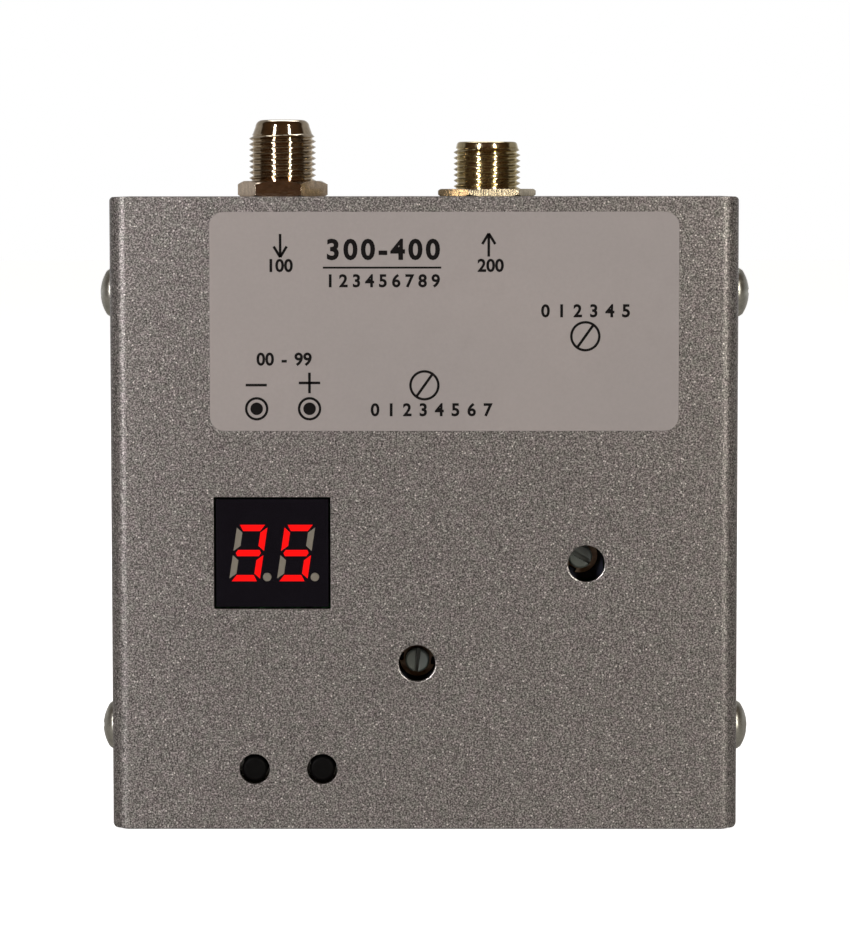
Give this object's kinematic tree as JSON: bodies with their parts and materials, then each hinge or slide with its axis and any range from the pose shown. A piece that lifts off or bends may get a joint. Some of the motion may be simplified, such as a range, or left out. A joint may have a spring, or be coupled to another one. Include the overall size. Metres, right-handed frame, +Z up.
{
  "type": "rf modulator",
  "caption": "Upright sheet metal box with a two digit display, push buttons and trimmers in its front, and threaded coaxial sockets on top.",
  "frame": {"origin": "on the standing surface, under the middle of the case", "axes": "+Z up towards the coaxial sockets, -Y out of the front panel, +X to the viewer's right"},
  "size_m": [0.092, 0.0302, 0.099],
  "materials": {
    "case_paint": "speckled powder coat",
    "screw_zinc": "zinc plated, dull",
    "label_film": "matt printed film",
    "display_black": "dark filled plastic",
    "segment_lit": "glowing red",
    "segment_unlit": "milky grey",
    "tinned_metal": "tinned",
    "black_plastic": "moulded",
    "board_green": "solder mask on glass laminate",
    "standoff_brass": "turned",
    "button_black": "moulded",
    "trimmer_blue": "moulded",
    "track_carbon": "printed resistance film",
    "wiper_brass": "stamped",
    "rotor_ivory": "moulded",
    "connector_nickel": "nickel plated brass",
    "insulator_white": "natural",
    "contact_gold": "gold flashed",
    "can_tinplate": "tinplate",
    "ferrite": "sintered",
    "sink_black": "black anodised",
    "capacitor_blue": "shrink sleeve"
  },
  "bodies": {
    "case": {"cover": "case_paint", "chassis": "case_paint", "case_screws": "screw_zinc", "label_film": "label_film", "display_body": "display_black", "lit_segments": "segment_lit", "unlit_segments": "segment_unlit", "display_pins": "tinned_metal", "display_sockets": "black_plastic", "main_board": "board_green", "board_standoffs": "standoff_brass", "board_screws": "tinned_metal", "switch_housings": "black_plastic", "switch_plates": "tinned_metal", "switch_domes": "tinned_metal", "switch_legs": "tinned_metal", "audio_trimmer_base": "trimmer_blue", "audio_trimmer_track": "track_carbon", "rf_trimmer_base": "trimmer_blue", "rf_trimmer_track": "track_carbon", "modulator_can": "can_tinplate", "modulator_can_lid": "can_tinplate", "modulator_chip": "black_plastic", "tuning_coils": "can_tinplate", "coil_cores": "ferrite", "saw_filter": "tinned_metal", "microcontroller": "black_plastic", "chip_legs": "tinned_metal", "crystal": "tinned_metal", "voltage_regulator": "black_plastic", "heat_sink": "sink_black", "regulator_screw": "tinned_metal", "capacitors": "capacitor_blue", "power_jack_body": "black_plastic", "power_jack_pin": "tinned_metal", "av_jack_body": "black_plastic", "av_jack_contacts": "contact_gold", "rf_in_shell": "connector_nickel", "rf_in_nut": "connector_nickel", "rf_in_washer": "tinned_metal", "rf_in_insulator": "insulator_white", "rf_in_contact": "contact_gold", "rf_out_shell": "connector_nickel", "rf_out_nut": "connector_nickel", "rf_out_washer": "tinned_metal", "rf_out_insulator": "insulator_white", "rf_out_contact": "contact_gold"},
    "down_button": {"channel_down_button": "button_black"},
    "up_button": {"channel_up_button": "button_black"},
    "audio_rotor": {"audio_trimmer_wiper": "wiper_brass", "audio_trimmer_rotor": "rotor_ivory"},
    "rf_rotor": {"rf_trimmer_wiper": "wiper_brass", "rf_trimmer_rotor": "rotor_ivory"}
  },
  "joints": [
    {"name": "channel_down_press", "type": "slide", "parent": "case", "child": "down_button", "axis": [0, 1, 0], "range_m": [0, 0.0003], "stiffness_N_per_m": 1000},
    {"name": "channel_up_press", "type": "slide", "parent": "case", "child": "up_button", "axis": [0, 1, 0], "range_m": [0, 0.0003], "stiffness_N_per_m": 1000},
    {"name": "audio_trimmer_turn", "type": "hinge", "parent": "case", "child": "audio_rotor", "pos_m": [-0.001, -0.0095, 0.02345], "axis": [0, -1, 0], "range_deg": [-112, 128]},
    {"name": "rf_trimmer_turn", "type": "hinge", "parent": "case", "child": "rf_rotor", "pos_m": [0.02177, -0.0095, 0.03806], "axis": [0, -1, 0], "range_deg": [-181, 59]}
  ]
}
